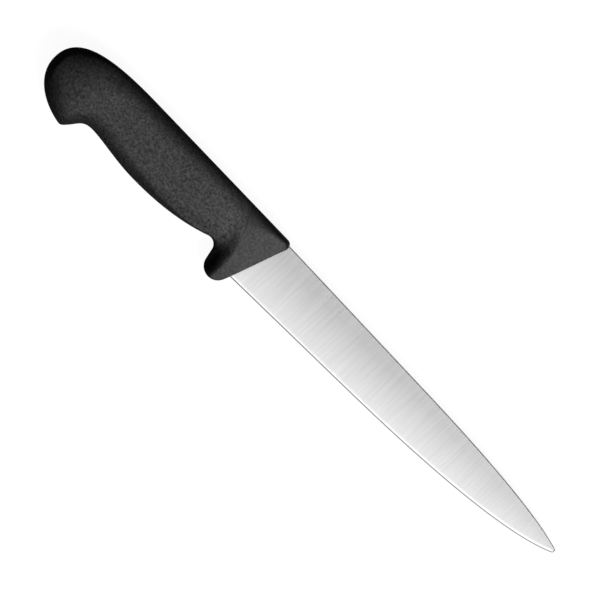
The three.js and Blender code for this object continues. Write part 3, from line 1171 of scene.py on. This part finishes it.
    def station(self, stretch: Stretch, share: float) -> Station:
        """A station of the handle.

        Args:
            stretch: The stretch that it is in.
            share: Its place in the stretch, from 0 to 1.

        Returns:
            The station.
        """
        rounds = [
            self.cheek_round,
            self.crease_round,
            self.neck_round,
            self.waist_round,
            self.hook_round,
            self.butt_round,
        ]
        here, there = rounds[stretch.value : stretch.value + 2]
        eased = share**2 if stretch is Stretch.NOSE else float(smooth(share))
        rounding = Rounding(*(a + (b - a) * eased for a, b in zip(here, there)))
        if stretch is Stretch.GUARD:
            scooped = math.sin(share**self.guard_lead * math.pi) ** 2
            under = rounding.under + (self.guard_round - rounding.under) * scooped
            rounding = rounding._replace(under=under)
        bowed = {Stretch.NOSE: share, Stretch.GUARD: 1 - share}.get(stretch, 0.0)
        first, second = self.back_marks[stretch.value : stretch.value + 2]
        return Station(
            foot=self.underside[stretch].at(share),
            top=self.back.at(first + (second - first) * share),
            bow=np.array(self.crease_bow) * bowed,
            rounding=rounding,
        )

    def half(self, x: np.ndarray) -> np.ndarray:
        """Half the grip's thickness at places along the handle.

        Args:
            x: The places.

        Returns:
            Half the thickness at each.
        """
        stations = [
            (self.grip_front, self.crease_half),
            (-self.neck_top_set, self.neck_half),
            (self.from_butt(self.belly_back), self.belly_half),
            (self.from_butt(self.waist_back), self.waist_half),
            (self.from_butt(self.hook_back), self.hook_half),
            (-self.length, self.butt_half),
        ]
        half = np.full_like(x, self.crease_half)
        for (x_from, first), (x_to, last) in zip(stations, stations[1:]):
            share = np.clip((x_from - x) / (x_from - x_to), 0.0, 1.0)
            eased = share**2 if x_to == -self.length else smooth(share)
            half = np.where(x < x_from, first + (last - first) * eased, half)
        return half

    def scoop(self, places: np.ndarray) -> np.ndarray:
        """The finger scoop behind the cheek: the share of the thickness that it takes away at places.

        It starts at a ridge on the cheek, falls steeply and comes back slowly. It is deepest at the guard
        and fades out towards the back.

        Args:
            places: Points in the middle plane, one to a row.

        Returns:
            Shares from 0 to 1.
        """
        x, y = places.T
        up = np.clip((y - self.scoop_top) / (self.scoop_foot - self.scoop_top), 0.0, 1.0)
        ridge = self.ridge_x - self.ridge_bend * np.clip(y - self.ridge_level, 0.0, None) ** 2
        reach = self.scoop_fall + (self.scoop_guard_fall - self.scoop_fall) * smooth(up)
        fall = smooth((ridge - x) / reach)
        back = 1 - smooth((ridge - reach - x) / self.scoop_return)
        return self.scoop_depth * up**self.scoop_power * fall * back

    def ring(self, station: Station, half: HalfAt, sink: Measure = 0.0) -> np.ndarray:
        """A ring round the handle, with the mould's seam as a fine ridge in its middle plane.

        Args:
            station: The ring's station.
            half: Gives the half thickness at places along the handle.
            sink: How far the ring lies below the handle's surface, at each share of the way up it.

        Returns:
            The ring's points.
        """
        even = (1 - np.cos(np.linspace(0.0, math.pi, self.ring_steps + 1))) / 2
        shares = np.concatenate([[0.0, self.seam_share], even[1:-1], [1 - self.seam_share, 1.0]])
        depth = np.interp(shares, np.linspace(0.0, 1.0, np.size(sink)), np.atleast_1d(sink))
        span = station.top - station.foot
        length = math.hypot(*span)
        along = span / length
        foot = station.foot + along * depth[0]
        top = station.top - along * depth[-1]
        places = foot + np.outer(shares, top - foot)
        bulge = CUBIC * shares * (1 - shares)
        places[:, 0] += bulge * (station.bow[0] * (1 - shares) + station.bow[1] * shares)
        lift = quarter_round(shares * length, station.rounding.under)
        lift = lift * quarter_round((1 - shares) * length, station.rounding.back)
        lift[[0, -1]] = 0.0
        swell = (1 - self.crown * (2 * shares - 1) ** 2) * (1 - self.scoop(places)) * self.rim(places)
        places[0] -= along * self.seam_height
        places[-1] += along * self.seam_height
        return mirrored(np.column_stack([places, (half(places[:, 0]) - depth) * swell * lift]))

    def rim(self, places: np.ndarray) -> np.ndarray:
        """The steep rim round the upper half of the butt: the share of the thickness left at places.

        Args:
            places: Points in the middle plane, one to a row.

        Returns:
            Shares from 0 on the outline to 1 inside the rim.
        """
        strength = ramp(places[:, 0], self.rim_span)
        if not strength.any():
            return np.ones(len(places))
        outline = np.vstack([self.back.points, self.underside[Stretch.BUTT].points[::-1]])
        end = outline[(outline[:, 0] < self.rim_span[0]) & (outline[:, 1] > self.rim_foot)]
        distance = np.linalg.norm(places[:, None] - end, axis=2).min(axis=1)
        steep = np.clip(distance / self.rim_width, 0.0, 1.0) ** self.rim_power
        return 1 - strength * (1 - steep)

    def painted_shade(self, places: np.ndarray) -> np.ndarray:
        """How much painted shade darkens the plastic's colour at places.

        Shade is painted into the colour: in the finger scoop, on the guard, along the
        belly's underside, towards the butt and in a crescent at its end. The hold darkens towards the back.

        Args:
            places: Points in the middle plane, one to a row.

        Returns:
            Shares from 0 where the colour is left as it is to 1 where it is darkened most.
        """
        x, y = places.T
        low, high = self.scoop_shade_span
        scoop_shade = np.clip((self.scoop(places) - low) / (high - low), 0.0, 1.0)
        hold = self.hold_darkening * ramp(x, self.hold_span)
        guard = self.guard_shade * ramp(x, self.guard_rear) * ramp(y, self.guard_span)
        above = y - self.underside[Stretch.BELLY].height(x)
        band = ramp(above, self.belly_reach) * ramp(above, self.belly_edge)
        belly = self.belly_shade * band * ramp(x, self.belly_front) * ramp(x, self.belly_rear)
        butt_shade = self.butt_shade_depth * ramp(x, self.butt_shade_span)
        brow = self.end_x + self.end_bend * np.clip(y - self.end_level, 0.0, None) ** 2
        end = smooth((brow - x) / self.end_fade)
        return 1 - math.prod(1 - worn for worn in (scoop_shade, hold, guard, belly, butt_shade, end))

    def mark_painted_shade(self, piece: bpy.types.Object, seat: KnifeSeat, name: str) -> None:
        """Marks a piece's corners with how much painted shade darkens it there.

        Args:
            piece: The piece.
            seat: Where the frame holds the knife.
            name: The mark's name.
        """
        mark = piece.data.attributes.new(name, "FLOAT", "POINT")
        mark.data.foreach_set("value", self.painted_shade(seat.spots(piece)[:, :2]).astype(np.float32))

    def bar(self, seat: KnifeSeat, grow: float) -> bpy.types.Object:
        """The core's hidden bar inside the grip.

        Args:
            seat: Where the frame holds the knife.
            grow: How far the solid stands off the bar, for the hollow that holds it.

        Returns:
            The bar as a closed solid.
        """
        belly = self.underside[Stretch.BELLY]
        neck_x = belly.points[0, 0]
        waist_x = belly.points[-1, 0]
        end = self.from_butt(self.bar_end_back) - grow
        rounding = Rounding(self.bar_round, self.bar_round)
        rings = []
        front = np.linspace(self.grip_front, neck_x, self.bar_front_stations, endpoint=False)
        for x in (*front, *np.linspace(neck_x, end, self.bar_stations)):
            low = float(belly.height(min(max(x, waist_x), neck_x)))
            foot = np.array([x, low + self.grip_wall - grow])
            top = np.array([x, float(self.back.height(x)) - self.grip_wall + grow])
            station = Station(foot, top, np.zeros(2), rounding)
            rings.append(self.ring(station, lambda places: self.half(places) - self.grip_wall + grow))
        return seat.loft("bar", rings)


@dataclass(frozen=True)
class HandleCore:
    """The hard first moulding: the smooth cheek at the blade's root, and the bar inside the grip.

    The crease's sink is given at each tenth of the way up it.
    """

    form: HandleForm
    blade: Blade
    edge_break: float = 0.25
    break_rows: int = 5
    front_land: float = 0.4
    nose_run: float = 14.0
    stations: int = 34
    crease_sink: tuple[float, ...] = (0.0, 0.0, 0.0, 0.0, 0.0, 0.0, 0.0, 0.04, 0.06, 0.0, 0.0)
    crease_reach: float = 0.35
    gap: float = 0.04
    sharp_angle: float = math.radians(35)

    def build(self, seat: KnifeSeat) -> bpy.types.Object:
        """The core: the cheek joined to the bar, with the blade's slot carved out.

        Args:
            seat: Where the frame holds the knife.

        Returns:
            The core.
        """
        core = seat.loft("knife_handle_core", self._cheek_rings())
        combine(core, self.form.bar(seat, 0.0), Cut.JOIN)
        combine(core, self.blade.solid(seat, "slot", self.gap), Cut.CARVE)
        shade(core, self.sharp_angle)
        # Marks where shade is painted into the plastic's colour
        self.form.mark_painted_shade(core, seat, CHEEK_PLASTIC.painted_shade_mark)
        return core

    def _cheek_rings(self) -> list[np.ndarray]:
        """The cheek's rings, from its front face to the crease, with its front edge rounded.

        Returns:
            The rings.
        """
        rings = []
        drops = [(0.0, self.edge_break + self.front_land)]
        for k in range(self.break_rows + 1):
            turn = QUARTER_TURN * k / self.break_rows
            drops.append((self.edge_break * (1 - math.cos(turn)), self.edge_break * (1 - math.sin(turn))))
        for run, drop in drops:
            rings.append(self._cheek_ring(run / self.nose_run, drop))
        start = self.edge_break / self.nose_run
        last = 1 - self.crease_reach / self.nose_run
        for share in np.linspace(start, last, self.stations)[1:]:
            rings.append(self._cheek_ring(share, 0.0))
        rings.append(self._cheek_ring(1.0, self.crease_sink))
        return rings

    def _cheek_ring(self, share: float, sink: Measure) -> np.ndarray:
        """One of the cheek's rings. The cheek thins a little from its front face to the crease.

        Args:
            share: The ring's place, from 0 at the front face to 1 at the crease.
            sink: How far the ring lies below the handle's surface.

        Returns:
            The ring's points.
        """
        form = self.form
        half = form.cheek_half + (form.crease_half - form.cheek_half) * share
        return form.ring(form.station(Stretch.NOSE, share), lambda x: np.full_like(x, half), sink=sink)

    def dress(self, piece: bpy.types.Object) -> None:
        """Gives the core its plastic and its place in the frame."""
        piece.data.materials.append(CHEEK_PLASTIC.material())
        settle(piece, Node.CORE)


@dataclass(frozen=True)
class Grip:
    """The grained second moulding over the core.

    The crease's sink is given at each tenth of the way up it.
    """

    form: HandleForm
    gap: float = 0.015
    crease_sink: tuple[float, ...] = (0.0, 0.0, 0.0, 0.0, 0.0, 0.0, 0.0, 0.06, 0.09, 0.0, 0.0)
    crease_reach: float = 0.02
    stations: tuple[tuple[Stretch, int], ...] = (
        (Stretch.GUARD, 90),
        (Stretch.BELLY, 90),
        (Stretch.HOOK, 60),
        (Stretch.BUTT, 70),
    )
    butt_last: float = 0.975
    sharp_angle: float = math.radians(50)

    def build(self, seat: KnifeSeat) -> bpy.types.Object:
        """The grip: its outside, with the core's hollow carved out.

        Args:
            seat: Where the frame holds the knife.

        Returns:
            The grip.
        """
        form = self.form
        first = form.ring(form.station(Stretch.GUARD, 0.0), form.half, sink=self.crease_sink)
        rings = [first - (self.gap, 0.0, 0.0)]
        for stretch, count in self.stations:
            for share in self._shares(stretch, count):
                rings.append(form.ring(form.station(stretch, share), form.half))
        grip = seat.loft("knife_grip", rings)
        combine(grip, form.bar(seat, self.gap), Cut.CARVE)
        shade(grip, self.sharp_angle)
        # Marks where shade is painted into the plastic's colour
        form.mark_painted_shade(grip, seat, GRIP_PLASTIC.painted_shade_mark)
        return grip

    def _shares(self, stretch: Stretch, count: int) -> np.ndarray:
        """Where a stretch's rings lie, from just behind the crease on, closing up towards the butt's end.

        Args:
            stretch: The stretch.
            count: The number of its rings.

        Returns:
            Shares of the stretch, in order.
        """
        if stretch is Stretch.GUARD:
            return np.linspace(self.crease_reach, 1.0, count)
        if stretch is Stretch.BUTT:
            return self.butt_last * np.sin(np.arange(1, count + 1) / count * QUARTER_TURN)
        return np.linspace(0.0, 1.0, count + 1)[1:]

    def dress(self, piece: bpy.types.Object) -> None:
        """Gives the grip its plastic and its place in the frame."""
        piece.data.materials.append(GRIP_PLASTIC.material())
        settle(piece, Node.GRIP)


def settle(piece: bpy.types.Object, node: Node) -> None:
    """Lets a piece stand for a node of the frame.

    Args:
        piece: The piece.
        node: The node that it stands for.
    """
    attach(piece, BODY)
    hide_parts(node.value)


# The studio


def direction(off_zenith: float, heading: float) -> Vector:
    """A direction in the frame.

    Args:
        off_zenith: Its angle from straight up, in radians.
        heading: Its compass angle from +X towards +Y, in radians.

    Returns:
        A unit vector.
    """
    flat = math.sin(off_zenith)
    return Vector((flat * math.cos(heading), flat * math.sin(heading), math.cos(off_zenith)))


@dataclass(frozen=True)
class Studio:
    """The white table, the light and the camera.

    The aim and the view's width are in the knife's millimetres, and the table and the lamp are in metres.
    Headings are angles from +X towards +Y.
    """

    aim: Pair = (17.7, -14.73)
    turn: float = math.radians(46.24)
    view_width: float = 266.6
    lens: float = 600.0
    sensor: float = 36.0
    table_side: float = 60.0
    table_tone: float = 0.1
    table_glow: float = 0.94
    sky_off_zenith: float = math.radians(28)
    sky_heading: float = math.radians(-52)
    sky_span: Pair = (0.82, 1.0)
    sky_levels: Pair = (0.06, 2.7)
    wall_span: Pair = (0.3, 0.6)
    wall_glow: float = 0.85
    wall_side: Pair = (0.25, 0.6)
    wall_raise: float = 0.22
    lamp_off_zenith: float = math.radians(42)
    lamp_heading: float = math.radians(-20)
    lamp_distance: float = 1.6
    lamp_side: float = 0.5
    lamp_power: float = 20.0

    def build(self, seat: KnifeSeat) -> None:
        """Sets up the whole studio.

        Args:
            seat: Where the frame holds the knife.
        """
        bpy.context.scene.view_settings.view_transform = "Standard"
        self._table()
        self._sky()
        self._lamp()
        self._camera(seat)

    def _table(self) -> None:
        """A wide table top, white to the eye and to reflections, that throws little light back up."""
        side = self.table_side / 2
        corners = [(-side, -side, 0.0), (side, -side, 0.0), (side, side, 0.0), (-side, side, 0.0)]
        mesh = bpy.data.meshes.new("table")
        mesh.from_pydata(corners, [], [(0, 1, 2, 3)])
        table = bpy.data.objects.new("table", mesh)
        bpy.context.scene.collection.objects.link(table)
        board, material = NodeBoard.of_material("white table")
        glow = board.remap(board.seen(), UNIT_SPAN, (0.0, self.table_glow))
        tone = self.table_tone
        top = board.add("ShaderNodeBsdfDiffuse", {"Color": (tone, tone, tone, 1.0)})
        light = board.add("ShaderNodeEmission", {"Strength": glow})
        board.show(board.add("ShaderNodeAddShader", {0: top.outputs[0], 1: light.outputs[0]}))
        mesh.materials.append(material)
        table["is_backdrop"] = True

    def _sky(self) -> None:
        """A soft surround, bright overhead towards the tip and the cutting edge, and dark elsewhere.

        Pale walls stand round it, lowest on the spine's side, that only the eye and reflections see.
        """
        world = bpy.data.worlds.new("studio")
        world.use_nodes = True
        bpy.context.scene.world = world
        board = NodeBoard(world.node_tree)
        way = board.add("ShaderNodeTexCoord").outputs["Generated"]
        axis = direction(self.sky_off_zenith, self.sky_heading)
        facing = board.add("ShaderNodeVectorMath", {0: way, 1: axis}, operation="DOT_PRODUCT")
        level = board.remap(facing.outputs["Value"], self.sky_span, self.sky_levels)
        along, across, up = board.add("ShaderNodeSeparateXYZ", {"Vector": way}).outputs
        ends = board.reckon("ABSOLUTE", along)
        edge_side = board.product(across, -1.0)
        side = board.reckon("MAXIMUM", ends, edge_side)
        low = board.sum(up, board.remap(side, self.wall_side, (0.0, -self.wall_raise)))
        walls = board.product(board.seen(), board.remap(low, self.wall_span, (self.wall_glow, 0.0)))
        sky = board.add("ShaderNodeBackground", {"Strength": board.sum(level, walls)})
        board.show(sky, "ShaderNodeOutputWorld")

    def _lamp(self) -> None:
        """One wide softbox on the tip's side, towards the cutting edge. Reflections don't show it."""
        data = bpy.data.lights.new("softbox", "AREA")
        data.shape = "DISK"
        data.size = self.lamp_side
        data.energy = self.lamp_power
        lamp = bpy.data.objects.new("softbox", data)
        way = direction(self.lamp_off_zenith, self.lamp_heading)
        lamp.location = way * self.lamp_distance
        lamp.rotation_euler = way.to_track_quat("Z", "Y").to_euler()
        lamp.visible_glossy = False
        bpy.context.scene.collection.objects.link(lamp)

    def _camera(self, seat: KnifeSeat) -> None:
        """A long lens straight above the knife, turned so that the knife lies across the picture.

        Args:
            seat: Where the frame holds the knife.
        """
        data = bpy.data.cameras.new("camera")
        data.sensor_width = self.sensor
        data.lens = self.lens
        camera = bpy.data.objects.new("camera", data)
        reach = self.view_width * self.lens / self.sensor
        camera.location = seat.place(np.array([*self.aim, reach]))
        camera.rotation_euler = (0.0, 0.0, self.turn)
        bpy.context.scene.collection.objects.link(camera)
        bpy.context.scene.camera = camera


def main() -> None:
    """Builds the knife's pieces around the frame, then the studio."""
    logging.basicConfig(level=logging.INFO, format="%(name)s: %(message)s")
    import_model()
    blade = Blade()
    form = HandleForm()
    seat = KnifeSeat.from_frame(blade.length)
    for part in (blade, HandleCore(form, blade), Grip(form)):
        piece = part.build(seat)
        part.dress(piece)
        LOG.info("%s: %d corners, %d faces", piece.name, len(piece.data.vertices), len(piece.data.polygons))
    Studio().build(seat)


if __name__ == "__main__":
    main()
